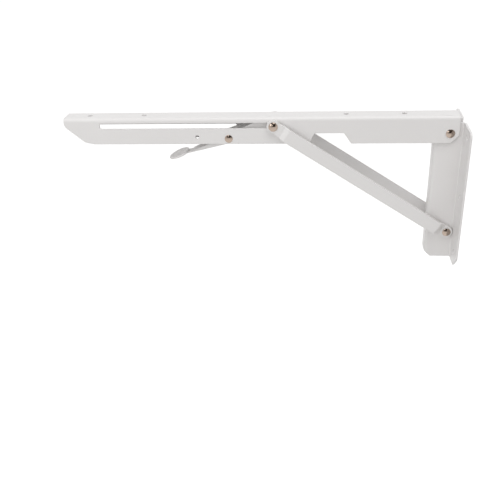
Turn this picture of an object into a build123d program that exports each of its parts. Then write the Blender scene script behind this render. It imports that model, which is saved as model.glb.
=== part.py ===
from build123d import *
import math
import os

os.makedirs("parts", exist_ok=True)

# Folding shelf bracket, in millimetres. The wall is the plane X = 0, the arm reaches out along -X,
# +Z is up and Y = 0 is the middle plane. The origin is the middle of the wall screw holes, and
# depths are measured down from the arm's top face, which carries the shelf.

# Sheet and running gaps
sheet = 2.0
bend_radius = 2.2
side_gap = 0.3
flange_gap = 0.3
running_gap = 0.06
head_gap = 0.1

# Arm: an open channel, folded down along both sides
arm_reach = 401.0
arm_width = 22.0
arm_height = 27.0
heel_setback = 6.5
heel_clip = 7.5
nose_face = 8.0
nose_knee_in = 19.5
nose_knee_down = 25.0
nose_run = 29.0
nose_corner = 6.0
nose_knee_round = 10.0

# Slot that the sliding pins run in, and the window under it on the far side
slot_depth = 8.0
slot_height = 5.8
slot_corner = 1.4
slot_end_margin = 37.0
window_strip = 1.6
window_height = 6.1
window_corner = 1.2
window_end_margin = 29.5
window_lever_gap = 11.8
window_slant = 17.0

# Cut-out in the arm's sides that swallows the strut's lower ears when the bracket is folded
cutout_top = 16.3
cutout_wall_side = 5.3
cutout_tip_side = 23.7
cutout_slant_wall = 8.5
cutout_slant_tip = 6.0
cutout_corner = 2.0

# Shelf screw holes along the arm's top, in two pairs
shelf_hole_radius = 2.6
shelf_hole_pitch = 56.5
inner_pair_start = 58.7
outer_pair_margin = 25.5

# Wall plate: a hat section with a screw flange on each side
plate_top = 7.5
plate_bottom = 155.5
plate_width = 80.0
hat_front_gap = 0.8
plate_clip = 6.5
flange_corner = 4.0
flange_clip = 13.0
wall_hole_radius = 3.0
wall_hole_pitch_y = 50.0
wall_hole_top = 16.0
wall_hole_foot = 14.5

# Pivots, as distances out from the wall and down from the arm's top face
arm_pivot_out = 15.0
arm_pivot_down = 17.2
strut_pivot_out = 8.5
strut_pivot_down = 125.0
slot_pin_out = 187.0
lever_pivot_out = 232.3
lever_pivot_down = 21.5

# Rivets
pivot_shank_radius = 2.9
pivot_head_radius = 4.3
pivot_head_height = 1.8
slot_pin_radius = 2.7
slot_head_radius = 4.6
slot_head_height = 2.2
slot_flange_radius = 4.2
slot_flange_thickness = 1.2
lever_shank_radius = 2.0
lever_head_radius = 4.0
lever_head_height = 1.2
head_rim = 0.4

# Washers and spacer tubes
pivot_washer_thickness = 0.7
slot_washer_thickness = 1.5
slot_washer_radius = 6.2
spacer_wall = 1.6
washer_seat_gap = 0.05

# Strut: two cranked flat bars, one on each side of the arm
bar_thickness = 2.5
bar_height = 13.6
bar_spread = 36.0
upper_ear_radius = 6.6
lower_ear_flat = 7.0
lower_crank_run = 6.0
upper_ear_flat = 11.0
upper_crank_run = 5.0
crank_radius = 2.0

# Release lever: a small channel inside the arm that ends in a thumb spoon
lever_sheet = 1.5
lever_side_gap = 0.6
lever_droop = 13.5
lever_floor = 7.0
lever_neck_at = 42.0
neck_overlap = 4.0
lever_neck_width = 9.0
catch_gap = 0.3
catch_cover = 0.1
catch_crest = 31.0
catch_round = 1.5
boss_height = 3.7
boss_front = 3.0
boss_back = 3.0
cheek_corner = 2.0
taper_knee_at = 21.5
taper_knee_drop = 2.0
spoon_at = 56.5
spoon_length = 22.0
spoon_width = 23.0
spoon_radius = 26.0
spoon_drop = 9.8
spoon_tilt = 7.0
bush_wall = 0.5

# Torsion spring round the lever's bush
spring_wire = 1.0
spring_turns = 5
spring_pitch = 1.3
spring_leg = 24.0
anchor_leg_bend = 3.0
anchor_hole_radius = 2.0
anchor_out = 264.2
anchor_down = 19.7

# Places worked out from the sizes above
wall_hole_pitch_z = (plate_bottom - wall_hole_foot - wall_hole_top) / 2
top = wall_hole_top + wall_hole_pitch_z
slot_end = arm_reach - slot_end_margin
slot_top = slot_depth - slot_height / 2
slot_bottom = slot_depth + slot_height / 2
window_top = slot_bottom + window_strip
window_bottom = window_top + window_height
window_end = arm_reach - window_end_margin
window_start = lever_pivot_out - window_lever_gap
outer_pair_start = arm_reach - outer_pair_margin - shelf_hole_pitch
folded_ear_out = arm_pivot_out + strut_pivot_down - arm_pivot_down
cutout_narrow_start = folded_ear_out - cutout_wall_side
cutout_narrow_end = folded_ear_out + cutout_tip_side
half_arm = arm_width / 2
arm_inside = half_arm - sheet
half_hat = arm_inside - pivot_washer_thickness - 2 * washer_seat_gap
lower_ear_radius = strut_pivot_out - sheet - flange_gap
pivot_washer_radius = lower_ear_radius - (bend_radius - sheet / 2) + head_gap
slot_start = slot_pin_out - slot_height / 2
hat_front = arm_pivot_out + arm_pivot_down - sheet - hat_front_gap
upper_ear_inside = half_arm + slot_washer_thickness + 2 * head_gap
lower_ear_inside = half_hat + pivot_washer_thickness + 2 * washer_seat_gap
bar_middle = bar_spread / 2 - bar_thickness / 2
strut_rise = strut_pivot_down - slot_depth
strut_run = slot_pin_out - strut_pivot_out
strut_length = math.hypot(strut_run, strut_rise)
strut_along = Vector(-strut_run / strut_length, 0, strut_rise / strut_length)
strut_across = Vector(strut_rise / strut_length, 0, strut_run / strut_length)
strut_foot = Vector(-strut_pivot_out, 0, top - strut_pivot_down)
droop = math.radians(lever_droop)
lever_along = Vector(-math.cos(droop), 0, -math.sin(droop))
lever_up = Vector(-math.sin(droop), 0, math.cos(droop))
lever_pivot = Vector(-lever_pivot_out, 0, top - lever_pivot_down)
bush_radius = lever_shank_radius + bush_wall + running_gap
side_view = Plane(origin=(0, 0, top), x_dir=(1, 0, 0), z_dir=(0, -1, 0))
wall_view = Plane(origin=(0, 0, top), x_dir=(0, 1, 0), z_dir=(1, 0, 0))


def at(out, down):
    """A point of the side view, from its distance out from the wall and down from the top."""
    return (-out, -down)


def cross_axis(out, down):
    """The plane across a pivot: its first axis runs along +Y, through both sides."""
    return Plane(origin=(-out, 0, top - down), x_dir=(0, 1, 0), z_dir=(0, 0, 1))


def pin_axis(out, down):
    """The axis of a pivot, along +Y."""
    return Axis((-out, 0, top - down), (0, 1, 0))


def tube(out, down, inner, outer, low, high):
    """A washer, spacer or bush whose hole lies on a pivot, from low to high along Y."""
    with BuildPart() as ring:
        with BuildSketch(cross_axis(out, down)):
            with Locations(((low + high) / 2, (inner + outer) / 2)):
                Rectangle(high - low, outer - inner)
        revolve(axis=pin_axis(out, down))
    return ring.part


def dome_arc(face, side, radius, height):
    """The dome of a rivet's head from rim to crown, on the side of Y that side gives as 1 or -1."""
    rise = height - head_rim
    ball = (radius**2 + rise**2) / (2 * rise)
    half_angle = math.asin(radius / ball) / 2
    crown = face + side * height
    middle = (crown - side * ball * (1 - math.cos(half_angle)), ball * math.sin(half_angle))
    return ThreePointArc((face + side * head_rim, radius), middle, (crown, 0))


def rivet(out, down, shank, grip, head, height):
    """A rivet with a low dome on each end, where grip is half the length between the heads."""
    with BuildPart() as body:
        with BuildSketch(cross_axis(out, down)):
            with BuildLine():
                Polyline(
                    (-grip - head_rim, head),
                    (-grip, head),
                    (-grip, shank),
                    (grip, shank),
                    (grip, head),
                    (grip + head_rim, head),
                )
                dome_arc(grip, 1, head, height)
                dome_arc(-grip, -1, head, height)
                Line((-grip - height, 0), (grip + height, 0))
            make_face()
        revolve(axis=pin_axis(out, down))
    return body.part


# Arm
with BuildPart() as arm:
    # Channel section, bent from one strip and open below
    with BuildSketch(Plane(origin=(-heel_setback, 0, top), x_dir=(0, 1, 0), z_dir=(-1, 0, 0))):
        with BuildLine():
            FilletPolyline(
                (-half_arm + sheet / 2, arm_height),
                (-half_arm + sheet / 2, sheet / 2),
                (half_arm - sheet / 2, sheet / 2),
                (half_arm - sheet / 2, arm_height),
                radius=bend_radius,
            )
        trace(line_width=sheet)
    extrude(amount=arm_reach - heel_setback)
    # Side outline: the raked nose at the tip and the clipped corner at the heel
    with BuildSketch(side_view) as outline:
        with BuildLine():
            Polyline(
                at(heel_setback, 0),
                at(arm_reach, 0),
                at(arm_reach, nose_face),
                at(arm_reach - nose_knee_in, nose_knee_down),
                at(arm_reach - nose_run, arm_height),
                at(heel_setback + heel_clip, arm_height),
                at(heel_setback, arm_height - heel_clip),
                close=True,
            )
        make_face()
        knee = at(arm_reach - nose_knee_in, nose_knee_down)
        fillet(outline.vertices().sort_by_distance(knee)[:1], nose_knee_round)
        knee_end = at(arm_reach - nose_run, arm_height)
        fillet(outline.vertices().sort_by_distance(knee_end)[:1], nose_knee_round)
        nose_tip = at(arm_reach, nose_face)
        fillet(outline.vertices().sort_by_distance(nose_tip)[:1], nose_corner)
    extrude(amount=arm_width, both=True, mode=Mode.INTERSECT)
    # Pin slot through both sides
    with BuildSketch(side_view):
        with Locations(at((slot_start + slot_end) / 2, slot_depth)):
            RectangleRounded(slot_end - slot_start, slot_height, slot_height / 2 - 0.01)
        with Locations(at(slot_end - slot_height, slot_depth)):
            RectangleRounded(2 * slot_height, slot_height, slot_corner)
    extrude(amount=arm_width, both=True, mode=Mode.SUBTRACT)
    # Window in the far side, under its slot, with a slanted end beside the lever's pivot
    with BuildSketch(side_view.offset(-half_arm - sheet)) as window:
        with BuildLine():
            Polyline(
                at(window_start, window_top),
                at(window_end, window_top),
                at(window_end, window_bottom),
                at(window_start + window_slant, window_bottom),
                close=True,
            )
        make_face()
        fillet(window.vertices(), window_corner)
    extrude(amount=2 * sheet, mode=Mode.SUBTRACT)
    # Cut-out in both sides for the strut's lower ears
    with BuildSketch(side_view) as cutout:
        with BuildLine():
            Polyline(
                at(cutout_narrow_start, cutout_top),
                at(cutout_narrow_end, cutout_top),
                at(cutout_narrow_end + cutout_slant_tip, arm_height + sheet),
                at(cutout_narrow_start - cutout_slant_wall, arm_height + sheet),
                close=True,
            )
        make_face()
        fillet(cutout.vertices().group_by(Axis.Y)[-1], cutout_corner)
    extrude(amount=arm_width, both=True, mode=Mode.SUBTRACT)
    # Shelf screw holes in the top
    hole_starts = [
        inner_pair_start,
        inner_pair_start + shelf_hole_pitch,
        outer_pair_start,
        outer_pair_start + shelf_hole_pitch,
    ]
    with BuildSketch(Plane.XY.offset(top)):
        with Locations([(-start, 0) for start in hole_starts]):
            Circle(shelf_hole_radius)
    extrude(amount=-2 * sheet, mode=Mode.SUBTRACT)
    # Pivot holes and the spring's anchor hole through both sides
    with BuildSketch(side_view):
        with Locations(at(arm_pivot_out, arm_pivot_down)):
            Circle(pivot_shank_radius + running_gap)
        with Locations(at(lever_pivot_out, lever_pivot_down)):
            Circle(lever_shank_radius)
        with Locations(at(anchor_out, anchor_down)):
            Circle(anchor_hole_radius)
    extrude(amount=arm_width, both=True, mode=Mode.SUBTRACT)
arm.part.label = "arm"
export_step(arm.part, "parts/arm.step")

# Wall plate
with BuildPart() as wall_plate:
    # Hat section, bent from one strip and standing against the wall
    half_plate = plate_width / 2
    with BuildSketch(Plane.XY.offset(top - plate_bottom)):
        with BuildLine():
            FilletPolyline(
                (-sheet / 2, -half_plate),
                (-sheet / 2, -half_hat + sheet / 2),
                (-hat_front + sheet / 2, -half_hat + sheet / 2),
                (-hat_front + sheet / 2, half_hat - sheet / 2),
                (-sheet / 2, half_hat - sheet / 2),
                (-sheet / 2, half_plate),
                radius=bend_radius,
            )
        trace(line_width=sheet)
    extrude(amount=plate_bottom - plate_top)
    # The hat's upper front corner is rounded about the arm's pivot, so the arm can swing over it
    with BuildSketch(side_view) as side_shape:
        swing = hat_front - arm_pivot_out
        with Locations(at(hat_front / 2, (arm_pivot_down + plate_bottom) / 2)):
            Rectangle(hat_front, plate_bottom - arm_pivot_down)
        with Locations(at(arm_pivot_out, arm_pivot_down)):
            Circle(swing)
        with Locations(at(arm_pivot_out / 2, (plate_top + arm_pivot_down) / 2)):
            Rectangle(arm_pivot_out, arm_pivot_down - plate_top)
        foot_corner = side_shape.vertices().group_by(Axis.Y)[0].sort_by(Axis.X)[:1]
        chamfer(foot_corner, plate_clip)
    extrude(amount=plate_width, both=True, mode=Mode.INTERSECT)
    # Flanges: clipped corners at the foot, all corners rounded
    with BuildSketch(wall_view) as flanges:
        with Locations((0, -(plate_top + plate_bottom) / 2)):
            Rectangle(plate_width, plate_bottom - plate_top)
        chamfer(flanges.vertices().group_by(Axis.Y)[0], flange_clip)
        fillet(flanges.vertices(), flange_corner)
    extrude(amount=hat_front, both=True, mode=Mode.INTERSECT)
    # Wall screw holes, three on each flange
    with BuildSketch(wall_view):
        with Locations((0, -wall_hole_top - wall_hole_pitch_z)):
            with GridLocations(wall_hole_pitch_y, wall_hole_pitch_z, 2, 3):
                Circle(wall_hole_radius)
    extrude(amount=2 * sheet, both=True, mode=Mode.SUBTRACT)
    # Pivot holes through both sides of the hat
    with BuildSketch(side_view):
        with Locations(at(arm_pivot_out, arm_pivot_down), at(strut_pivot_out, strut_pivot_down)):
            Circle(pivot_shank_radius)
    extrude(amount=half_hat, both=True, mode=Mode.SUBTRACT)
wall_plate.part.label = "wall_plate"
export_step(wall_plate.part, "parts/wall_plate.step")

# Strut bars
lower_middle = lower_ear_inside + bar_thickness / 2
upper_middle = upper_ear_inside + bar_thickness / 2
lower_crank_end = lower_ear_flat + lower_crank_run
upper_crank_end = strut_length - upper_ear_flat
with BuildPart() as strut_bar_near:
    # Cranked strip, seen from above the strut: each ear steps in towards what it is pinned to
    with BuildSketch(Plane(origin=strut_foot, x_dir=strut_along, z_dir=strut_across)):
        with BuildLine():
            FilletPolyline(
                (-2 * lower_ear_radius, lower_middle),
                (lower_ear_flat, lower_middle),
                (lower_crank_end, bar_middle),
                (upper_crank_end - upper_crank_run, bar_middle),
                (upper_crank_end, upper_middle),
                (strut_length + 2 * upper_ear_radius, upper_middle),
                radius=crank_radius,
            )
        trace(line_width=bar_thickness)
    extrude(amount=2 * upper_ear_radius, both=True)
    # Side outline: a straight bar with a small lower ear and a wider upper ear
    strut_view = Plane(origin=strut_foot, x_dir=strut_along, z_dir=(0, 1, 0))
    with BuildSketch(strut_view) as bar_outline:
        Circle(lower_ear_radius)
        with Locations((strut_length, 0)):
            Circle(upper_ear_radius)
        with BuildLine():
            Polyline(
                (0, lower_ear_radius),
                (lower_ear_flat, lower_ear_radius),
                (lower_crank_end, bar_height / 2),
                (strut_length - 2 * upper_ear_radius, bar_height / 2),
                (strut_length - upper_ear_radius / 2, upper_ear_radius * math.sqrt(3) / 2),
                (strut_length - upper_ear_radius / 2, -upper_ear_radius * math.sqrt(3) / 2),
                (strut_length - 2 * upper_ear_radius, -bar_height / 2),
                (lower_crank_end, -bar_height / 2),
                (lower_ear_flat, -lower_ear_radius),
                (0, -lower_ear_radius),
                close=True,
            )
        make_face()
    extrude(amount=bar_spread, both=True, mode=Mode.INTERSECT)
    with BuildSketch(strut_view):
        Circle(pivot_shank_radius + running_gap)
        with Locations((strut_length, 0)):
            Circle(slot_pin_radius)
    extrude(amount=bar_spread, both=True, mode=Mode.SUBTRACT)
strut_bar_near.part.label = "strut_bar_near"
export_step(strut_bar_near.part, "parts/strut_bar_near.step")

with BuildPart() as strut_bar_far:
    add(strut_bar_near.part)
    mirror(about=Plane.XZ, mode=Mode.REPLACE)
strut_bar_far.part.label = "strut_bar_far"
export_step(strut_bar_far.part, "parts/strut_bar_far.step")

# Pivot rivets, each riveted over the outermost pieces that it holds
arm_pivot_grip = half_arm + head_gap
arm_pivot_rivet = rivet(
    arm_pivot_out, arm_pivot_down, pivot_shank_radius, arm_pivot_grip, pivot_head_radius, pivot_head_height
)
arm_pivot_rivet.label = "arm_pivot_rivet"
export_step(arm_pivot_rivet, "parts/arm_pivot_rivet.step")

strut_pivot_grip = lower_ear_inside + bar_thickness + head_gap
strut_pivot_rivet = rivet(
    strut_pivot_out,
    strut_pivot_down,
    pivot_shank_radius,
    strut_pivot_grip,
    pivot_head_radius,
    pivot_head_height,
)
strut_pivot_rivet.label = "strut_pivot_rivet"
export_step(strut_pivot_rivet, "parts/strut_pivot_rivet.step")

lever_pivot_rivet = rivet(
    lever_pivot_out, lever_pivot_down, lever_shank_radius, half_arm, lever_head_radius, lever_head_height
)
lever_pivot_rivet.label = "lever_pivot_rivet"
export_step(lever_pivot_rivet, "parts/lever_pivot_rivet.step")

# Spacer tubes that keep the hat's sides apart, and washers between the moving sides
spacer_half = half_hat - sheet
washer_low = half_hat + washer_seat_gap
washer_high = washer_low + pivot_washer_thickness
for pivot_name, out, down in (
    ("arm_pivot", arm_pivot_out, arm_pivot_down),
    ("strut_pivot", strut_pivot_out, strut_pivot_down),
):
    inner = pivot_shank_radius + running_gap
    spacer = tube(out, down, inner, inner + spacer_wall, -spacer_half, spacer_half)
    spacer.label = pivot_name + "_spacer"
    export_step(spacer, "parts/" + pivot_name + "_spacer.step")
    near_washer = tube(out, down, inner, pivot_washer_radius, -washer_high, -washer_low)
    near_washer.label = pivot_name + "_washer_near"
    export_step(near_washer, "parts/" + pivot_name + "_washer_near.step")
    far_washer = tube(out, down, inner, pivot_washer_radius, washer_low, washer_high)
    far_washer.label = pivot_name + "_washer_far"
    export_step(far_washer, "parts/" + pivot_name + "_washer_far.step")

# Sliding pins, one on each side: the shank and washer run along the slot between a flange inside
# the arm and the strut's ear, and the head sits in the ear
flange_outside = arm_inside - head_gap
flange_inside = flange_outside - slot_flange_thickness
shank_end = upper_ear_inside - head_gap
for side_name, side in (("near", -1), ("far", 1)):
    with BuildPart() as slot_pin:
        with BuildSketch(cross_axis(slot_pin_out, slot_depth)):
            with BuildLine():
                Polyline(
                    (side * shank_end, 0),
                    (side * shank_end, slot_pin_radius),
                    (side * flange_outside, slot_pin_radius),
                    (side * flange_outside, slot_flange_radius),
                    (side * flange_inside, slot_flange_radius),
                    (side * flange_inside, 0),
                    close=True,
                )
            make_face()
        revolve(axis=pin_axis(slot_pin_out, slot_depth))
    slot_pin.part.label = "slot_pin_" + side_name
    export_step(slot_pin.part, "parts/slot_pin_" + side_name + ".step")
    washer_ends = sorted((side * (half_arm + head_gap), side * shank_end))
    washer = tube(
        slot_pin_out,
        slot_depth,
        slot_pin_radius + running_gap,
        slot_washer_radius,
        washer_ends[0],
        washer_ends[1],
    )
    washer.label = "slot_washer_" + side_name
    export_step(washer, "parts/slot_washer_" + side_name + ".step")
    ear_outside = upper_ear_inside + bar_thickness
    with BuildPart() as pin_head:
        with BuildSketch(cross_axis(slot_pin_out, slot_depth)):
            with BuildLine():
                Polyline(
                    (side * (ear_outside + slot_head_height), 0),
                    (side * upper_ear_inside, 0),
                    (side * upper_ear_inside, slot_pin_radius),
                    (side * ear_outside, slot_pin_radius),
                    (side * ear_outside, slot_head_radius),
                    (side * (ear_outside + head_rim), slot_head_radius),
                )
                dome_arc(side * ear_outside, side, slot_head_radius, slot_head_height)
            make_face()
        revolve(axis=pin_axis(slot_pin_out, slot_depth))
    pin_head.part.label = "slot_pin_head_" + side_name
    export_step(pin_head.part, "parts/slot_pin_head_" + side_name + ".step")

# Release lever
half_lever = flange_inside - lever_side_gap
catch_level = lever_pivot_down - slot_top + catch_cover
pin_out = lever_pivot_out - slot_pin_out - slot_pin_radius - catch_gap
pin_up = lever_pivot_down - slot_depth
catch_reach = math.cos(droop) * pin_out + math.sin(droop) * pin_up


def lever_point(along, up):
    """A point of the side view in the lever's own directions, measured from its pivot."""
    place = lever_along * along + lever_up * up
    return at(lever_pivot_out - place.X, lever_pivot_down - place.Z)


def catch_line(along):
    """A point on the level top edge of the catch, which fills the slot's height."""
    return lever_point(along, (catch_level + math.sin(droop) * along) / math.cos(droop))


boss_top = lever_point(boss_back, boss_height)
lever_top = lever_pivot_down
spoon_angle = droop + math.radians(spoon_tilt)
spoon_axis = Vector(-math.cos(spoon_angle), 0, -math.sin(spoon_angle))
spoon_normal = Vector(-math.sin(spoon_angle), 0, math.cos(spoon_angle))
spoon_bottom = lever_pivot + lever_along * spoon_at - lever_up * spoon_drop
spoon_ball = spoon_bottom + spoon_normal * spoon_radius
with BuildPart() as spoon:
    # Thumb spoon: a shallow dish with an oval outline
    with BuildSketch(Plane(origin=spoon_ball, x_dir=spoon_axis, z_dir=(0, -1, 0))):
        Circle(spoon_radius)
        Circle(spoon_radius - lever_sheet, mode=Mode.SUBTRACT)
        with Locations((spoon_length / 2, spoon_radius)):
            Rectangle(spoon_length, spoon_radius, mode=Mode.INTERSECT)
    revolve(axis=Axis(spoon_ball, spoon_normal))
    with BuildSketch(Plane(origin=spoon_bottom, x_dir=spoon_axis, z_dir=spoon_normal)):
        Ellipse(spoon_length / 2, spoon_width / 2)
    extrude(amount=spoon_radius, mode=Mode.INTERSECT)

with BuildPart() as release_lever:
    # Channel section with its floor below, from the catch to the neck
    catch_end = lever_pivot - lever_along * catch_reach
    with BuildSketch(Plane(origin=catch_end, x_dir=(0, 1, 0), z_dir=lever_along)):
        with BuildLine():
            FilletPolyline(
                (-half_lever + lever_sheet / 2, -lever_top),
                (-half_lever + lever_sheet / 2, lever_floor - lever_sheet / 2),
                (half_lever - lever_sheet / 2, lever_floor - lever_sheet / 2),
                (half_lever - lever_sheet / 2, -lever_top),
                radius=bend_radius,
            )
        trace(line_width=lever_sheet)
    extrude(amount=catch_reach + lever_neck_at)
    # Side outline: catch beside the sliding pins, boss at the pivot, sides tapering to the neck
    with BuildSketch(side_view) as cheek:
        with BuildLine():
            Polyline(
                lever_point(lever_neck_at, -lever_floor),
                lever_point(catch_round - catch_reach, -lever_floor),
                lever_point(-catch_reach, catch_round - lever_floor),
                catch_line(-catch_reach),
                catch_line(-catch_crest),
                lever_point(-boss_front, boss_height),
                boss_top,
                lever_point(taper_knee_at, -taper_knee_drop),
                lever_point(lever_neck_at, lever_sheet - lever_floor),
                close=True,
            )
        make_face()
        fillet(cheek.vertices().sort_by_distance(catch_line(-catch_reach))[:1], catch_round)
        fillet(cheek.vertices().sort_by_distance(catch_line(-catch_crest))[:1], cheek_corner)
        fillet(cheek.vertices().sort_by_distance(boss_top)[:1], cheek_corner)
    extrude(amount=half_arm, both=True, mode=Mode.INTERSECT)
    # Neck, carrying the channel's floor on into the spoon
    with BuildSketch(
        Plane(origin=lever_pivot, x_dir=lever_along, z_dir=lever_up).offset(-lever_floor)
    ):
        with Locations((lever_neck_at + neck_overlap / 2, 0)):
            Rectangle(3 * neck_overlap, lever_neck_width)
    extrude(amount=lever_sheet)
    add(spoon.part)
    # Bearing holes in both sides
    with BuildSketch(side_view):
        with Locations(at(lever_pivot_out, lever_pivot_down)):
            Circle(bush_radius + running_gap)
    extrude(amount=half_arm, both=True, mode=Mode.SUBTRACT)
release_lever.part.label = "release_lever"
export_step(release_lever.part, "parts/release_lever.step")

# Bush that the lever turns on, between the arm's sides
bush_half = arm_inside - head_gap
lever_bush = tube(
    lever_pivot_out,
    lever_pivot_down,
    lever_shank_radius + running_gap,
    bush_radius,
    -bush_half,
    bush_half,
)
lever_bush.label = "lever_bush"
export_step(lever_bush, "parts/lever_bush.step")

# Torsion spring: one leg lies on the lever's floor, the other reaches the anchor hole
coil_length = (spring_turns + 0.5) * spring_pitch
coil_radius = lever_floor - lever_sheet - spring_wire / 2 - side_gap
coil_start = lever_pivot + Vector(0, coil_length / 2, 0)
coil = Helix(spring_pitch, coil_length, coil_radius, center=coil_start, direction=(0, -1, 0))
coil = coil.rotate(pin_axis(lever_pivot_out, lever_pivot_down), -lever_droop)
floor_leg_end = coil @ 0
floor_leg_start = floor_leg_end - (coil % 0) * spring_leg
anchor_leg_start = coil @ 1
anchor_leg_knee = anchor_leg_start + (coil % 1) * (spring_leg - 2 * spring_pitch)
anchor_leg_end = Vector(-anchor_out, spring_wire / 2 + head_gap - arm_inside, top - anchor_down)
with BuildPart() as lever_spring:
    with BuildLine() as spring_path:
        Line(floor_leg_start, floor_leg_end)
        add(coil)
        FilletPolyline(
            anchor_leg_start, anchor_leg_knee, anchor_leg_end, radius=anchor_leg_bend
        )
    with BuildSketch(Plane(origin=floor_leg_start, z_dir=spring_path.line % 0)):
        Circle(spring_wire / 2)
    sweep(path=spring_path.wires()[0])
lever_spring.part.label = "lever_spring"
export_step(lever_spring.part, "parts/lever_spring.step")
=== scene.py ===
"""Looks of the folding shelf bracket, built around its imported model.

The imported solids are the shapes. This script coats the bent sheet parts, turns the rivets with
rounded heads, finishes the small parts, and adds the floor, the light and the camera.
"""

from __future__ import annotations

import logging
import math
from dataclasses import dataclass
from enum import Enum

import bpy
from mathutils import Matrix, Vector

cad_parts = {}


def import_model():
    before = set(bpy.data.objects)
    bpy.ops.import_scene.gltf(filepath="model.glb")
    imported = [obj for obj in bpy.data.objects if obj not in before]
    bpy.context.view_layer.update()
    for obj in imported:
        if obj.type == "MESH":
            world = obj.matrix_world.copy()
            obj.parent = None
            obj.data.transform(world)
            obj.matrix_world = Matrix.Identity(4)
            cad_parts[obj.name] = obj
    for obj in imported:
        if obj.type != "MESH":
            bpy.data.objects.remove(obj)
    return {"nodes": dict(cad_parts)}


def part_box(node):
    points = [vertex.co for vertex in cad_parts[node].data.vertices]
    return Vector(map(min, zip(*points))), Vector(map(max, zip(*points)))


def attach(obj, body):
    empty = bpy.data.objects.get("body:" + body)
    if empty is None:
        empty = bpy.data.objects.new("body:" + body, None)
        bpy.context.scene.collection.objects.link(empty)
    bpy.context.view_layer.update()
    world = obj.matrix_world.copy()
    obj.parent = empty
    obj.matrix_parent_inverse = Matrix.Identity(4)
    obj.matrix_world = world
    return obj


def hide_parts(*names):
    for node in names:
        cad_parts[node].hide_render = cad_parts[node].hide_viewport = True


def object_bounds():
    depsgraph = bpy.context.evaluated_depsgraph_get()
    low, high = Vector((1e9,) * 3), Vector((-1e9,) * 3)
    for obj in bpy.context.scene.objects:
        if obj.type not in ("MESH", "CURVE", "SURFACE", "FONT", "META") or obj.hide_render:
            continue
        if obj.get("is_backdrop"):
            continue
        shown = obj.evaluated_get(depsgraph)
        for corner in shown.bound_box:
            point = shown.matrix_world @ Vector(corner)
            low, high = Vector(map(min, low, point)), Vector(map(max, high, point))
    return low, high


LOG = logging.getLogger("shelf_bracket")
MM = 0.001
IMAGE_PX = 500
SENSOR_MM = 36.0

Colour = tuple[float, float, float]
Place = tuple[float, float, float]
WHITE: Colour = (1.0, 1.0, 1.0)


class Body(Enum):
    """The bodies that the turned pieces ride on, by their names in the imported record."""

    WALL = "wall"
    ARM = "arm"
    STRUT = "strut"


class Tree:
    """A node tree that is written out node by node."""

    def __init__(self, tree: bpy.types.NodeTree) -> None:
        """Keeps the tree and clears what Blender put there.

        Args:
            tree: The shader or geometry tree to fill.
        """
        self.tree = tree
        tree.nodes.clear()

    def add(self, kind: str, **settings: object) -> bpy.types.Node:
        """Adds one node.

        Args:
            kind: The node's Blender type name.
            settings: Properties of the node, by name.

        Returns:
            The new node.
        """
        node = self.tree.nodes.new(kind)
        for name, value in settings.items():
            setattr(node, name, value)
        return node

    def feed(self, socket: bpy.types.NodeSocket, value: object) -> None:
        """Feeds a socket from another socket, or sets it to a plain value.

        Args:
            socket: The input to fill.
            value: An output socket, or a number, colour or vector.
        """
        if isinstance(value, bpy.types.NodeSocket):
            self.tree.links.new(value, socket)
        else:
            socket.default_value = value

    def work_out(self, operation: str, *values: object) -> bpy.types.NodeSocket:
        """Adds a Math node.

        Args:
            operation: The operation's Blender name.
            values: Sockets or numbers, in order.

        Returns:
            The result's socket.
        """
        node = self.add("ShaderNodeMath", operation=operation)
        for socket, value in zip(node.inputs, values):
            self.feed(socket, value)
        return node.outputs[0]

    def spread(self, value: object, low: object, high: object) -> bpy.types.NodeSocket:
        """Maps a value of 0 to 1 onto a range.

        Args:
            value: The socket or number to map.
            low: The result at 0.
            high: The result at 1.

        Returns:
            The mapped value's socket.
        """
        node = self.add("ShaderNodeMapRange")
        self.feed(node.inputs["Value"], value)
        self.feed(node.inputs["To Min"], low)
        self.feed(node.inputs["To Max"], high)
        return node.outputs["Result"]

    def blend(self, share: object, first: object, second: object) -> bpy.types.NodeSocket:
        """Mixes two colours.

        Args:
            share: How much of the second colour, 0 to 1.
            first: Socket or colour at 0.
            second: Socket or colour at 1.

        Returns:
            The mixed colour's socket.
        """
        node = self.add("ShaderNodeMix", data_type="RGBA")
        self.feed(node.inputs["Factor"], share)
        for name, value in (("A", first), ("B", second)):
            socket = next(s for s in node.inputs if s.name == name and s.type == "RGBA")
            self.feed(socket, value)
        return next(s for s in node.outputs if s.type == "RGBA")


def rgba(colour: Colour) -> tuple[float, float, float, float]:
    """Gives a colour its alpha of 1."""
    return (*colour, 1.0)


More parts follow.
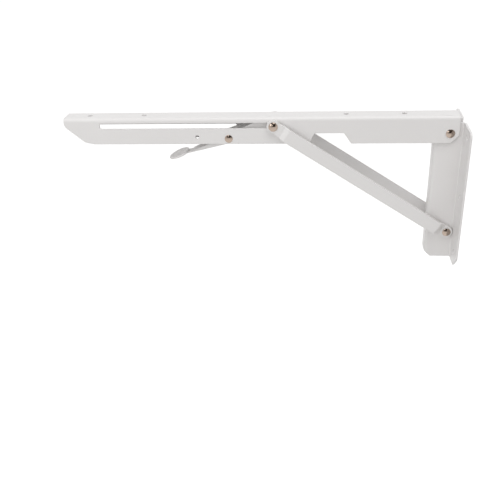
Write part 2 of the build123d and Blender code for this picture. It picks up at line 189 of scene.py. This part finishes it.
@dataclass
class Effects:
    """Shader node groups that more than one finish uses, each built once."""

    edge_samples: int = 6
    edge_contrast: float = 3.5
    grain_detail: float = 2.0
    drift_detail: float = 3.0

    def __post_init__(self) -> None:
        """Builds every group."""
        self.edges = self._edges()
        self.grain = self._grain()
        self.rings = self._rings()

    @staticmethod
    def _group(name: str, inputs: dict[str, float], outputs: dict[str, str]) -> Tree:
        """Makes an empty group with its sockets.

        Args:
            name: The group's name.
            inputs: Number inputs by name, with their defaults.
            outputs: Output names with their socket types.

        Returns:
            The group's tree.
        """
        tree = bpy.data.node_groups.new(name, "ShaderNodeTree")
        face = tree.interface
        for label, value in inputs.items():
            socket = face.new_socket(label, in_out="INPUT", socket_type="NodeSocketFloat")
            socket.default_value = value
        for label, kind in outputs.items():
            face.new_socket(label, in_out="OUTPUT", socket_type=kind)
        return Tree(tree)

    def _edges(self) -> bpy.types.NodeTree:
        """Rounds the look of sheet edges and masks them.

        Returns:
            A group with a Normal and an Edge mask.
        """
        group = self._group(
            "rounded_edges",
            {"Radius": 0.0004},
            {"Normal": "NodeSocketVector", "Edge": "NodeSocketFloat"},
        )
        inlet, outlet = group.add("NodeGroupInput"), group.add("NodeGroupOutput")
        round_off = group.add("ShaderNodeBevel", samples=self.edge_samples)
        group.feed(round_off.inputs["Radius"], inlet.outputs["Radius"])
        surface = group.add("ShaderNodeNewGeometry")
        agreement = group.add("ShaderNodeVectorMath", operation="DOT_PRODUCT")
        group.feed(agreement.inputs[0], round_off.outputs["Normal"])
        group.feed(agreement.inputs[1], surface.outputs["Normal"])
        turned_away = group.work_out("SUBTRACT", 1.0, agreement.outputs["Value"])
        stretched = group.work_out("MULTIPLY", turned_away, self.edge_contrast)
        mask = group.work_out("MINIMUM", stretched, 1.0)
        group.feed(outlet.inputs["Normal"], round_off.outputs["Normal"])
        group.feed(outlet.inputs["Edge"], mask)
        return group.tree

    def _grain(self) -> bpy.types.NodeTree:
        """Fine grain in the surface and a slow drift of tone.

        Returns:
            A group with a Height and a Tone.
        """
        group = self._group(
            "surface_grain",
            {"Grain per metre": 800.0, "Drift per metre": 25.0},
            {"Height": "NodeSocketFloat", "Tone": "NodeSocketFloat"},
        )
        inlet, outlet = group.add("NodeGroupInput"), group.add("NodeGroupOutput")
        place = group.add("ShaderNodeTexCoord")
        noises = (
            ("Grain per metre", self.grain_detail, "Height"),
            ("Drift per metre", self.drift_detail, "Tone"),
        )
        for label, detail, target in noises:
            noise = group.add("ShaderNodeTexNoise")
            group.feed(noise.inputs["Vector"], place.outputs["Object"])
            group.feed(noise.inputs["Scale"], inlet.outputs[label])
            group.feed(noise.inputs["Detail"], detail)
            group.feed(outlet.inputs[target], noise.outputs["Fac"])
        return group.tree

    def _rings(self) -> bpy.types.NodeTree:
        """Turning marks round an axis along Y.

        Returns:
            A group with a Height that changes with the distance from the axis.
        """
        group = self._group(
            "turning_marks",
            {"Centre X": 0.0, "Centre Z": 0.0, "Marks per metre": 4000.0},
            {"Height": "NodeSocketFloat"},
        )
        inlet, outlet = group.add("NodeGroupInput"), group.add("NodeGroupOutput")
        place = group.add("ShaderNodeTexCoord")
        parts = group.add("ShaderNodeSeparateXYZ")
        group.feed(parts.inputs[0], place.outputs["Object"])
        across = group.work_out("SUBTRACT", parts.outputs["X"], inlet.outputs["Centre X"])
        up = group.work_out("SUBTRACT", parts.outputs["Z"], inlet.outputs["Centre Z"])
        squares = [group.work_out("POWER", leg, 2.0) for leg in (across, up)]
        reach = group.work_out("SQRT", group.work_out("ADD", *squares))
        marks = group.work_out("MULTIPLY", reach, inlet.outputs["Marks per metre"])
        noise = group.add("ShaderNodeTexNoise", noise_dimensions="1D")
        group.feed(noise.inputs["W"], marks)
        group.feed(noise.inputs["Scale"], 1.0)
        group.feed(outlet.inputs["Height"], noise.outputs["Fac"])
        return group.tree


@dataclass(frozen=True)
class PowderCoat:
    """White powder coat over steel sheet, with a painted highlight that brightens its edges."""

    name: str = "white_powder_coat"
    colour: Colour = (0.835, 0.820, 0.812)
    drifted: Colour = (0.81, 0.792, 0.784)
    # Colour of the painted highlight along every edge and bend of the coat.
    edge_highlight: Colour = (0.93, 0.918, 0.91)
    smooth: float = 0.34
    dull: float = 0.46
    edge_radius: float = 0.0008
    highlight_share: float = 0.8
    peel_per_metre: float = 700.0
    drift_per_metre: float = 18.0
    peel_depth: float = 0.00002
    gloss: float = 0.5
    skin: float = 0.08
    skin_rough: float = 0.25

    def build(self, effects: Effects) -> bpy.types.Material:
        """Builds the material.

        Args:
            effects: The shared groups.

        Returns:
            The finished material.
        """
        material, tree, shader = new_material(self.name)
        edges = place_group(tree, effects.edges, Radius=self.edge_radius)
        grain = place_grain(tree, effects, self.peel_per_metre, self.drift_per_metre)
        body = tree.blend(grain.outputs["Tone"], rgba(self.colour), rgba(self.drifted))
        # Painted highlight: the edge mask lightens the coat's colour along its edges and bends.
        highlight_share = tree.work_out("MULTIPLY", edges.outputs["Edge"], self.highlight_share)
        tree.feed(shader.inputs["Base Color"], tree.blend(highlight_share, body, rgba(self.edge_highlight)))
        rough = tree.spread(grain.outputs["Tone"], self.smooth, self.dull)
        tree.feed(shader.inputs["Roughness"], rough)
        shader.inputs["Specular IOR Level"].default_value = self.gloss
        shader.inputs["Coat Weight"].default_value = self.skin
        shader.inputs["Coat Roughness"].default_value = self.skin_rough
        add_bump(tree, shader, grain.outputs["Height"], self.peel_depth, edges.outputs["Normal"])
        return material


@dataclass(frozen=True)
class PolishedNickel:
    """Nickel-plated steel, turned about an axis along Y."""

    name: str
    centre: Vector
    colour: Colour = (0.44, 0.36, 0.305)
    worn: Colour = (0.36, 0.29, 0.24)
    smooth: float = 0.14
    dull: float = 0.28
    grain_per_metre: float = 2500.0
    drift_per_metre: float = 260.0
    mark_depth: float = 0.000006

    def build(self, effects: Effects) -> bpy.types.Material:
        """Builds the material.

        Args:
            effects: The shared groups.

        Returns:
            The finished material.
        """
        material, tree, shader = new_material(self.name)
        rings = place_group(
            tree, effects.rings, **{"Centre X": self.centre.x, "Centre Z": self.centre.z}
        )
        grain = place_grain(tree, effects, self.grain_per_metre, self.drift_per_metre)
        shader.inputs["Metallic"].default_value = 1.0
        tone = tree.blend(grain.outputs["Tone"], rgba(self.colour), rgba(self.worn))
        tree.feed(shader.inputs["Base Color"], tone)
        rough = tree.spread(grain.outputs["Tone"], self.smooth, self.dull)
        tree.feed(shader.inputs["Roughness"], rough)
        add_bump(tree, shader, rings.outputs["Height"], self.mark_depth, None)
        return material


@dataclass(frozen=True)
class BareSteel:
    """Bare or drawn steel with fine scratches."""

    name: str
    colour: Colour = (0.52, 0.52, 0.53)
    marked: Colour = (0.42, 0.42, 0.43)
    smooth: float = 0.26
    dull: float = 0.42
    grain_per_metre: float = 3000.0
    drift_per_metre: float = 300.0
    grain_depth: float = 0.00001

    def build(self, effects: Effects) -> bpy.types.Material:
        """Builds the material.

        Args:
            effects: The shared groups.

        Returns:
            The finished material.
        """
        material, tree, shader = new_material(self.name)
        grain = place_grain(tree, effects, self.grain_per_metre, self.drift_per_metre)
        shader.inputs["Metallic"].default_value = 1.0
        tone = tree.blend(grain.outputs["Tone"], rgba(self.colour), rgba(self.marked))
        tree.feed(shader.inputs["Base Color"], tone)
        rough = tree.spread(grain.outputs["Tone"], self.smooth, self.dull)
        tree.feed(shader.inputs["Roughness"], rough)
        add_bump(tree, shader, grain.outputs["Height"], self.grain_depth, None)
        return material


@dataclass(frozen=True)
class NaturalNylon:
    """Moulded nylon in its natural milky colour."""

    name: str = "natural_nylon"
    colour: Colour = (0.74, 0.73, 0.69)
    drifted: Colour = (0.68, 0.67, 0.62)
    smooth: float = 0.4
    dull: float = 0.52
    edge_radius: float = 0.0002
    grain_per_metre: float = 2000.0
    drift_per_metre: float = 200.0
    grain_depth: float = 0.00001
    glow_share: float = 0.15
    glow_depth: float = 0.0006

    def build(self, effects: Effects) -> bpy.types.Material:
        """Builds the material.

        Args:
            effects: The shared groups.

        Returns:
            The finished material.
        """
        material, tree, shader = new_material(self.name)
        grain = place_grain(tree, effects, self.grain_per_metre, self.drift_per_metre)
        edges = place_group(tree, effects.edges, Radius=self.edge_radius)
        tone = tree.blend(grain.outputs["Tone"], rgba(self.colour), rgba(self.drifted))
        tree.feed(shader.inputs["Base Color"], tone)
        rough = tree.spread(grain.outputs["Tone"], self.smooth, self.dull)
        tree.feed(shader.inputs["Roughness"], rough)
        shader.inputs["Subsurface Weight"].default_value = self.glow_share
        shader.inputs["Subsurface Scale"].default_value = self.glow_depth
        add_bump(tree, shader, grain.outputs["Height"], self.grain_depth, edges.outputs["Normal"])
        return material


def new_material(name: str) -> tuple[bpy.types.Material, Tree, bpy.types.Node]:
    """Starts a material with its shader and output joined.

    Args:
        name: The material's name.

    Returns:
        The material, its tree and its shader.
    """
    material = bpy.data.materials.new(name)
    material.use_nodes = True
    tree = Tree(material.node_tree)
    shader = tree.add("ShaderNodeBsdfPrincipled")
    outlet = tree.add("ShaderNodeOutputMaterial")
    tree.feed(outlet.inputs["Surface"], shader.outputs["BSDF"])
    return material, tree, shader


def place_group(tree: Tree, group: bpy.types.NodeTree, **values: float) -> bpy.types.Node:
    """Places a shared effect in a material with its own values.

    Args:
        tree: The material's tree.
        group: The effect's group.
        values: The group's inputs, by name.

    Returns:
        The group's node.
    """
    node = tree.add("ShaderNodeGroup", node_tree=group)
    for name, value in values.items():
        node.inputs[name].default_value = value
    return node


def place_grain(
    tree: Tree, effects: Effects, grain_per_metre: float, drift_per_metre: float
) -> bpy.types.Node:
    """Places the surface grain in a material.

    Args:
        tree: The material's tree.
        effects: The shared groups.
        grain_per_metre: How fine the grain is.
        drift_per_metre: How fast the tone drifts.

    Returns:
        The group's node.
    """
    values = {"Grain per metre": grain_per_metre, "Drift per metre": drift_per_metre}
    return place_group(tree, effects.grain, **values)


def add_bump(
    tree: Tree,
    shader: bpy.types.Node,
    height: bpy.types.NodeSocket,
    depth: float,
    normal: bpy.types.NodeSocket | None,
) -> None:
    """Feeds the shader's normal from a height.

    Args:
        tree: The material's tree.
        shader: The material's shader.
        height: The height's socket, from 0 to 1.
        depth: What a height of 1 stands for, in metres.
        normal: The normal that the bump starts from, if not the surface's own.
    """
    bump = tree.add("ShaderNodeBump")
    tree.feed(bump.inputs["Height"], height)
    bump.inputs["Distance"].default_value = depth
    if normal is not None:
        tree.feed(bump.inputs["Normal"], normal)
    tree.feed(shader.inputs["Normal"], bump.outputs["Normal"])


def dress(node: bpy.types.Object, material: bpy.types.Material) -> None:
    """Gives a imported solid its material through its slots.

    Args:
        node: The solid's object.
        material: The finish.
    """
    for place in node.material_slots:
        place.material = material
    LOG.info("dressed %s in %s", node.name, material.name)


@dataclass
class Turnings:
    """Rivets and pin heads, turned about an axis along Y by one geometry tree."""

    effects: Effects
    rim: float = 0.0004
    shoulder_rise: float = 0.76
    shoulder_reach: float = 0.5
    dome_steps: int = 14
    turns: int = 64
    weld: float = 0.000001
    smooth_angle: float = math.radians(40.0)

    def __post_init__(self) -> None:
        """Builds the geometry tree once."""
        self.tree = self._head_tree()

    def _head_tree(self) -> bpy.types.NodeTree:
        """Builds the tree of one rivet: a domed head at each end of a shank.

        Returns:
            The geometry tree, with named inputs for its sizes.
        """
        tree = bpy.data.node_groups.new("turned_rivet", "GeometryNodeTree")
        face = tree.interface
        for label in ("Shank Radius", "Head Radius", "Head Height", "Rim", "Half Grip", "Weld"):
            face.new_socket(label, in_out="INPUT", socket_type="NodeSocketFloat")
        for label in ("Dome Steps", "Turns"):
            face.new_socket(label, in_out="INPUT", socket_type="NodeSocketInt")
        face.new_socket("Both Heads", in_out="INPUT", socket_type="NodeSocketBool")
        face.new_socket("Finish", in_out="INPUT", socket_type="NodeSocketMaterial")
        face.new_socket("Geometry", in_out="OUTPUT", socket_type="NodeSocketGeometry")
        work = Tree(tree)
        inlet, outlet = work.add("NodeGroupInput"), work.add("NodeGroupOutput")
        size = inlet.outputs

        def point(radius: object, height: object) -> bpy.types.NodeSocket:
            """Gives a profile point.

            Args:
                radius: Its distance from the axis.
                height: Its height along the axis.

            Returns:
                The point, counted from the shank's wall.
            """
            node = work.add("ShaderNodeCombineXYZ")
            work.feed(node.inputs["X"], work.work_out("SUBTRACT", radius, size["Shank Radius"]))
            work.feed(node.inputs["Y"], height)
            return node.outputs[0]

        rim_top = work.work_out("ADD", size["Half Grip"], size["Rim"])
        crown = work.work_out("ADD", size["Half Grip"], size["Head Height"])
        rise = work.work_out("SUBTRACT", size["Head Height"], size["Rim"])
        shoulder = work.work_out(
            "ADD", rim_top, work.work_out("MULTIPLY", rise, self.shoulder_rise)
        )
        half_way = work.work_out("MULTIPLY", size["Head Radius"], self.shoulder_reach)
        dome = work.add("GeometryNodeCurveArc", mode="POINTS")
        work.feed(dome.inputs["Resolution"], size["Dome Steps"])
        work.feed(dome.inputs["Start"], point(0.0, crown))
        work.feed(dome.inputs["Middle"], point(half_way, shoulder))
        work.feed(dome.inputs["End"], point(size["Head Radius"], rim_top))
        lines = [dome.outputs["Curve"]]
        wide, narrow, seat = size["Head Radius"], size["Shank Radius"], size["Half Grip"]
        runs = (
            (point(wide, rim_top), point(wide, seat)),
            (point(wide, seat), point(narrow, seat)),
            (point(narrow, seat), point(narrow, 0.0)),
        )
        for start, end in runs:
            line = work.add("GeometryNodeCurvePrimitiveLine")
            work.feed(line.inputs["Start"], start)
            work.feed(line.inputs["End"], end)
            lines.append(line.outputs["Curve"])
        profile = work.add("GeometryNodeJoinGeometry")
        for line in lines:
            work.tree.links.new(line, profile.inputs[0])
        path = work.add("GeometryNodeCurvePrimitiveCircle", mode="RADIUS")
        work.feed(path.inputs["Resolution"], size["Turns"])
        work.feed(path.inputs["Radius"], size["Shank Radius"])
        skin = work.add("GeometryNodeCurveToMesh")
        work.feed(skin.inputs["Curve"], path.outputs["Curve"])
        work.feed(skin.inputs["Profile Curve"], profile.outputs[0])
        faces_out = work.add("GeometryNodeFlipFaces")
        work.feed(faces_out.inputs["Mesh"], skin.outputs["Mesh"])
        upper = work.add("GeometryNodeTransform")
        work.feed(upper.inputs["Geometry"], faces_out.outputs["Mesh"])
        upper.inputs["Rotation"].default_value = (math.pi / 2, 0.0, 0.0)
        lower = work.add("GeometryNodeTransform")
        work.feed(lower.inputs["Geometry"], upper.outputs["Geometry"])
        lower.inputs["Rotation"].default_value = (0.0, 0.0, math.pi)
        either = work.add("GeometryNodeSwitch", input_type="GEOMETRY")
        work.feed(either.inputs["Switch"], size["Both Heads"])
        work.feed(either.inputs["True"], lower.outputs["Geometry"])
        whole = work.add("GeometryNodeJoinGeometry")
        for part in (upper.outputs["Geometry"], either.outputs[0]):
            work.tree.links.new(part, whole.inputs[0])
        weld = work.add("GeometryNodeMergeByDistance")
        work.feed(weld.inputs["Geometry"], whole.outputs[0])
        work.feed(weld.inputs["Distance"], size["Weld"])
        real = work.add("GeometryNodeRealizeInstances")
        work.feed(real.inputs["Geometry"], weld.outputs["Geometry"])
        finish = work.add("GeometryNodeSetMaterial")
        work.feed(finish.inputs["Geometry"], real.outputs["Geometry"])
        work.feed(finish.inputs["Material"], size["Finish"])
        work.feed(outlet.inputs["Geometry"], finish.outputs["Geometry"])
        return tree

    def rivet(self, name: str, node: str, body: Body, shank: float, head_height: float) -> None:
        """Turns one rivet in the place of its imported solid.

        Args:
            name: The new piece's name.
            node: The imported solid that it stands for.
            body: The body that it rides on.
            shank: The shank's radius in metres.
            head_height: The height of each head in metres.
        """
        low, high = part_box(node)
        middle = (low + high) / 2
        sizes = {
            "Shank Radius": shank,
            "Head Radius": (high.x - low.x) / 2,
            "Head Height": head_height,
            "Half Grip": (high.y - low.y) / 2 - head_height,
            "Both Heads": True,
        }
        finish = PolishedNickel(f"nickel_{name}", middle)
        piece = self._realise(name, sizes, finish, Matrix.Translation(middle))
        self._hand_over(piece, node, body)

    def pin_head(self, name: str, node: str, shank: float, head_height: float) -> None:
        """Turns the head that holds one of the strut's ears on the sliding pin.

        Args:
            name: The new piece's name.
            node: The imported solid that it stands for.
            shank: The stub's radius in metres.
            head_height: The head's height in metres.
        """
        low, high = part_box(node)
        middle = (low + high) / 2
        is_far = middle.y > 0
        root = Vector((middle.x, low.y if is_far else high.y, middle.z))
        place = Matrix.Translation(root)
        if not is_far:
            place = place @ Matrix.Rotation(math.pi, 4, "Z")
        sizes = {
            "Shank Radius": shank,
            "Head Radius": (high.x - low.x) / 2,
            "Head Height": head_height,
            "Half Grip": high.y - low.y - head_height,
            "Both Heads": False,
        }
        piece = self._realise(name, sizes, PolishedNickel(f"nickel_{name}", middle), place)
        self._hand_over(piece, node, Body.STRUT)

    def _realise(
        self, name: str, sizes: dict[str, object], finish: PolishedNickel, place: Matrix
    ) -> bpy.types.Object:
        """Runs the tree and keeps its result as a plain mesh.

        Args:
            name: The piece's name.
            sizes: The piece's own inputs of the tree, by name.
            finish: The piece's finish.
            place: Where the piece goes, from the origin and the +Y axis.

        Returns:
            The new piece.
        """
        holder = bpy.data.objects.new(f"{name}_maker", bpy.data.meshes.new(f"{name}_maker"))
        bpy.context.scene.collection.objects.link(holder)
        modifier = holder.modifiers.new("turning", "NODES")
        modifier.node_group = self.tree
        material = finish.build(self.effects)
        inputs = {
            "Rim": self.rim,
            "Weld": self.weld,
            "Dome Steps": self.dome_steps,
            "Turns": self.turns,
            "Finish": material,
            **sizes,
        }
        for socket in self.tree.interface.items_tree:
            if socket.in_out == "INPUT":
                modifier[socket.identifier] = inputs[socket.name]
        graph = bpy.context.evaluated_depsgraph_get()
        mesh = bpy.data.meshes.new_from_object(holder.evaluated_get(graph))
        bpy.data.objects.remove(holder)
        mesh.transform(place)
        mesh.name = name
        smooth_up_to(mesh, self.smooth_angle)
        if not mesh.materials:
            mesh.materials.append(material)
        piece = bpy.data.objects.new(name, mesh)
        bpy.context.scene.collection.objects.link(piece)
        return piece

    @staticmethod
    def _hand_over(piece: bpy.types.Object, node: str, body: Body) -> None:
        """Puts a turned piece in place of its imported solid.

        Args:
            piece: The new piece.
            node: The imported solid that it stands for.
            body: The body that it rides on.
        """
        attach(piece, body.value)
        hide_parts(node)
        LOG.info("turned %s for %s, %d faces", piece.name, node, len(piece.data.polygons))


def smooth_up_to(mesh: bpy.types.Mesh, angle: float) -> None:
    """Shades a mesh smooth, apart from its edges sharper than an angle.

    Args:
        mesh: The mesh.
        angle: The sharpest angle that stays smooth, in radians.
    """
    mesh.polygons.foreach_set("use_smooth", [True] * len(mesh.polygons))
    mesh.set_sharp_from_angle(angle=angle)
    mesh.update()


@dataclass
class SheetWork:
    """The bent and coated sheet parts: arm, wall plate, strut bars and release lever."""

    effects: Effects
    coated: tuple[str, ...] = (
        "wall_plate",
        "arm",
        "strut_bar_near",
        "strut_bar_far",
        "release_lever",
    )

    def build(self, nodes: dict[str, bpy.types.Object]) -> None:
        """Coats every sheet part.

        Args:
            nodes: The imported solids, by name.
        """
        coat = PowderCoat().build(self.effects)
        for name in self.coated:
            dress(nodes[name], coat)


@dataclass
class Hardware:
    """Rivets, sliding pin, washers, spacers, bush and spring."""

    effects: Effects
    pivot_shank: float = 0.0029
    pivot_head: float = 0.0018
    lever_shank: float = 0.0020
    lever_head: float = 0.0012
    pin_shank: float = 0.0027
    pin_head: float = 0.0022
    washers: tuple[str, ...] = (
        "arm_pivot_washer_near",
        "arm_pivot_washer_far",
        "strut_pivot_washer_near",
        "strut_pivot_washer_far",
        "slot_washer_near",
        "slot_washer_far",
    )
    plain: tuple[str, ...] = ("arm_pivot_spacer", "strut_pivot_spacer", "lever_bush")

    def build(self, nodes: dict[str, bpy.types.Object]) -> None:
        """Turns the rivets and dresses the small parts.

        Args:
            nodes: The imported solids, by name.
        """
        turnings = Turnings(self.effects)
        rivets = (
            ("arm", Body.WALL, self.pivot_shank, self.pivot_head),
            ("strut", Body.WALL, self.pivot_shank, self.pivot_head),
            ("lever", Body.ARM, self.lever_shank, self.lever_head),
        )
        for pivot, body, shank, head in rivets:
            turnings.rivet(f"{pivot}_rivet", f"{pivot}_pivot_rivet", body, shank, head)
        for side in ("near", "far"):
            head_node, stub = f"slot_pin_head_{side}", f"slot_pin_{side}"
            turnings.pin_head(f"pin_head_{side}", head_node, self.pin_shank, self.pin_head)
            low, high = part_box(stub)
            nickel = PolishedNickel(f"nickel_{stub}", (low + high) / 2)
            dress(nodes[stub], nickel.build(self.effects))
        nylon = NaturalNylon().build(self.effects)
        for name in self.washers:
            dress(nodes[name], nylon)
        steel = BareSteel("turned_steel").build(self.effects)
        for name in self.plain:
            dress(nodes[name], steel)
        wire = BareSteel(
            name="spring_wire",
            colour=(0.40, 0.40, 0.42),
            marked=(0.30, 0.30, 0.32),
            smooth=0.3,
            dull=0.44,
            grain_per_metre=5000.0,
        )
        dress(nodes["lever_spring"], wire.build(self.effects))


@dataclass
class Studio:
    """White studio: floor, world light, three lamps and a dark card for the rivets to mirror."""

    ambient: float = 0.52
    floor_drop: float = 0.35
    floor_size: float = 12.0
    floor_colour: Colour = (0.78, 0.775, 0.765)
    floor_glow: float = 0.62
    floor_shine: float = 0.1
    matt: float = 0.9
    key_watts: float = 13.6
    key_size: float = 1.3
    key_place: Place = (0.08, -0.6, 1.7)
    fill_watts: float = 1.5
    fill_size: float = 0.4
    fill_place: Place = (-0.85, -0.7, 0.45)
    glint_watts: float = 0.95
    glint_size: float = 0.24
    glint_place: Place = (-0.55, -1.15, 0.52)
    card_size: float = 3.6
    card_place: Place = (-0.1, -1.8, 1.3)
    card_colour: Colour = (0.04, 0.022, 0.014)

    def build(self, low: Vector, high: Vector) -> None:
        """Builds the whole studio round the object.

        Args:
            low: The object's lowest corner.
            high: The object's highest corner.
        """
        centre = (low + high) / 2
        self._world()
        self._floor(low.z - self.floor_drop)
        for name, place, watts, size in (
            ("key", self.key_place, self.key_watts, self.key_size),
            ("fill", self.fill_place, self.fill_watts, self.fill_size),
            ("glint", self.glint_place, self.glint_watts, self.glint_size),
        ):
            self._lamp(name, place, centre, watts, size)
        self._card(centre)

    @staticmethod
    def _sheet(name: str, side: float) -> bpy.types.Object:
        """Makes a square sheet in its own plane.

        Args:
            name: The sheet's name.
            side: The sheet's side in metres.

        Returns:
            The new object.
        """
        half = side / 2
        mesh = bpy.data.meshes.new(name)
        corners = [(-half, -half, 0), (half, -half, 0), (half, half, 0), (-half, half, 0)]
        mesh.from_pydata(corners, [], [(0, 1, 2, 3)])
        sheet = bpy.data.objects.new(name, mesh)
        bpy.context.scene.collection.objects.link(sheet)
        sheet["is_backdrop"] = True
        return sheet

    @staticmethod
    def _seen(tree: Tree) -> bpy.types.NodeSocket:
        """Tells what is seen, straight or in metal and glass, from what only lights.

        Args:
            tree: The tree of the world or of a material.

        Returns:
            A socket of 1 where the surface is seen.
        """
        path = tree.add("ShaderNodeLightPath")
        camera, glossy = path.outputs["Is Camera Ray"], path.outputs["Is Glossy Ray"]
        seen = tree.work_out("MAXIMUM", camera, glossy)
        return tree.work_out("MAXIMUM", seen, path.outputs["Is Transmission Ray"])

    def _world(self) -> None:
        """Lights the object evenly and shows plain white behind it and in its metal."""
        world = bpy.data.worlds.new("studio")
        bpy.context.scene.world = world
        world.use_nodes = True
        tree = Tree(world.node_tree)
        seen = self._seen(tree)
        light = tree.add("ShaderNodeBackground")
        light.inputs["Color"].default_value = rgba(WHITE)
        tree.feed(light.inputs["Strength"], tree.spread(seen, self.ambient, 1.0))
        outlet = tree.add("ShaderNodeOutputWorld")
        tree.feed(outlet.inputs["Surface"], light.outputs["Background"])

    def _floor(self, level: float) -> None:
        """Lays the pale floor under the object.

        Args:
            level: The floor's height in metres.
        """
        floor = self._sheet("floor", self.floor_size)
        floor.location.z = level
        material, tree, shader = new_material("pale_floor")
        shader.inputs["Base Color"].default_value = rgba(self.floor_colour)
        shader.inputs["Roughness"].default_value = self.matt
        shader.inputs["Specular IOR Level"].default_value = self.floor_shine
        shader.inputs["Emission Color"].default_value = rgba(WHITE)
        glow = tree.work_out("MULTIPLY", self._seen(tree), self.floor_glow)
        tree.feed(shader.inputs["Emission Strength"], glow)
        floor.data.materials.append(material)

    def _card(self, centre: Vector) -> None:
        """Stands a dark card behind the lamps, seen only in the metal.

        Args:
            centre: The point that the card faces.
        """
        card = self._sheet("dark_card", self.card_size)
        card.location = self.card_place
        card.rotation_euler = (centre - card.location).to_track_quat("Z", "Y").to_euler()
        card.visible_camera = False
        card.visible_diffuse = False
        card.visible_shadow = False
        material, _, shader = new_material("dark_card")
        shader.inputs["Base Color"].default_value = rgba(self.card_colour)
        shader.inputs["Roughness"].default_value = self.matt
        card.data.materials.append(material)

    @staticmethod
    def _lamp(name: str, place: Place, aim: Vector, watts: float, size: float) -> None:
        """Places one soft square lamp.

        Args:
            name: The lamp's name.
            place: Where it stands, in metres.
            aim: The point that it faces.
            watts: Its power.
            size: Its side in metres.
        """
        data = bpy.data.lights.new(name, "AREA")
        data.shape = "SQUARE"
        data.size = size
        data.energy = watts
        lamp = bpy.data.objects.new(name, data)
        bpy.context.scene.collection.objects.link(lamp)
        lamp.location = place
        lamp.rotation_euler = (aim - lamp.location).to_track_quat("-Z", "Y").to_euler()


@dataclass(frozen=True)
class Viewpoint:
    """The photograph's camera, found from the bracket's own sizes."""

    place_mm: Place = (-139.0, -663.8, 297.4)
    yaw: float = -0.1172
    pitch: float = -0.5110
    roll: float = -0.0452
    focal_px: float = 688.5
    nearest: float = 0.01
    furthest: float = 50.0

    def build(self) -> None:
        """Makes the camera and hands it to the scene."""
        data = bpy.data.cameras.new("camera")
        data.sensor_fit = "HORIZONTAL"
        data.sensor_width = SENSOR_MM
        data.lens = self.focal_px / IMAGE_PX * SENSOR_MM
        data.clip_start = self.nearest
        data.clip_end = self.furthest
        camera = bpy.data.objects.new("camera", data)
        bpy.context.scene.collection.objects.link(camera)
        level = Vector((math.sin(self.yaw), math.cos(self.yaw), 0.0))
        side = Vector((math.cos(self.yaw), -math.sin(self.yaw), 0.0))
        up = Vector((0.0, 0.0, 1.0))
        ahead = level * math.cos(self.pitch) + up * math.sin(self.pitch)
        crown = up * math.cos(self.pitch) - level * math.sin(self.pitch)
        right = side * math.cos(self.roll) + crown * math.sin(self.roll)
        top = crown * math.cos(self.roll) - side * math.sin(self.roll)
        turn = Matrix((right, top, -ahead)).transposed().to_4x4()
        camera.matrix_world = Matrix.Translation(Vector(self.place_mm) * MM) @ turn
        bpy.context.scene.camera = camera


def main() -> None:
    """Builds the dressed bracket and its studio."""
    logging.basicConfig(level=logging.INFO, format="%(name)s: %(message)s")
    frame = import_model()
    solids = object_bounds()
    view = bpy.context.scene.view_settings
    view.view_transform = "Standard"
    effects = Effects()
    SheetWork(effects).build(frame["nodes"])
    Hardware(effects).build(frame["nodes"])
    Studio().build(*solids)
    Viewpoint().build()


if __name__ == "__main__":
    main()
